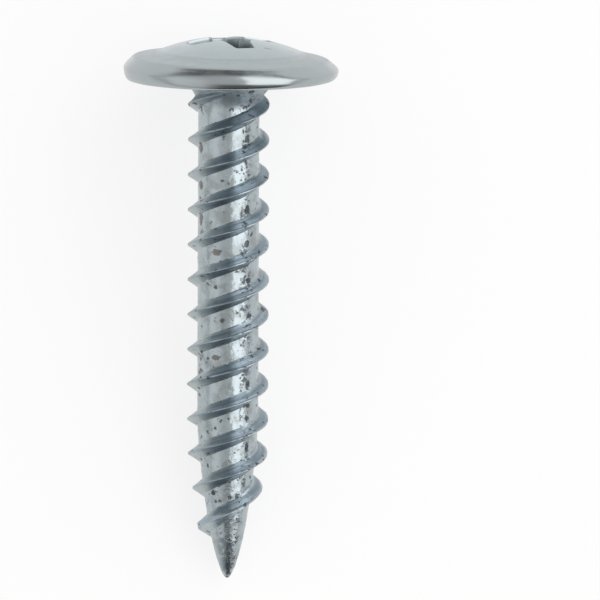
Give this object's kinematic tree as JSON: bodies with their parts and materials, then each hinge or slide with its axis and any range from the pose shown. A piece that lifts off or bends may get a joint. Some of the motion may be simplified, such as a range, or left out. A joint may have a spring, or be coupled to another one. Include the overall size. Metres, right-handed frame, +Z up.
{
  "type": "truss head screw",
  "caption": "Zinc plated truss head screw: wide low domed head with a cross recess, flared neck, coarse right-hand thread and a drawn-out sharp point. Lies at rest on its side.",
  "frame": {"origin": "on the floor, under the middle of the box that the lying screw fills", "axes": "+Z up; the screw's length runs along Y with its head at the +Y end; its axis rises towards the head by about ten degrees, because it lies on the rim of its head and on one crest near the point"},
  "size_m": [0.011, 0.0276, 0.0108],
  "materials": {
    "zinc_plate": "bright zinc plating, satin on the head, rolled and lightly pitted on the shank"
  },
  "bodies": {
    "root": {"truss_head_screw": "zinc_plate"}
  },
  "joints": []
}
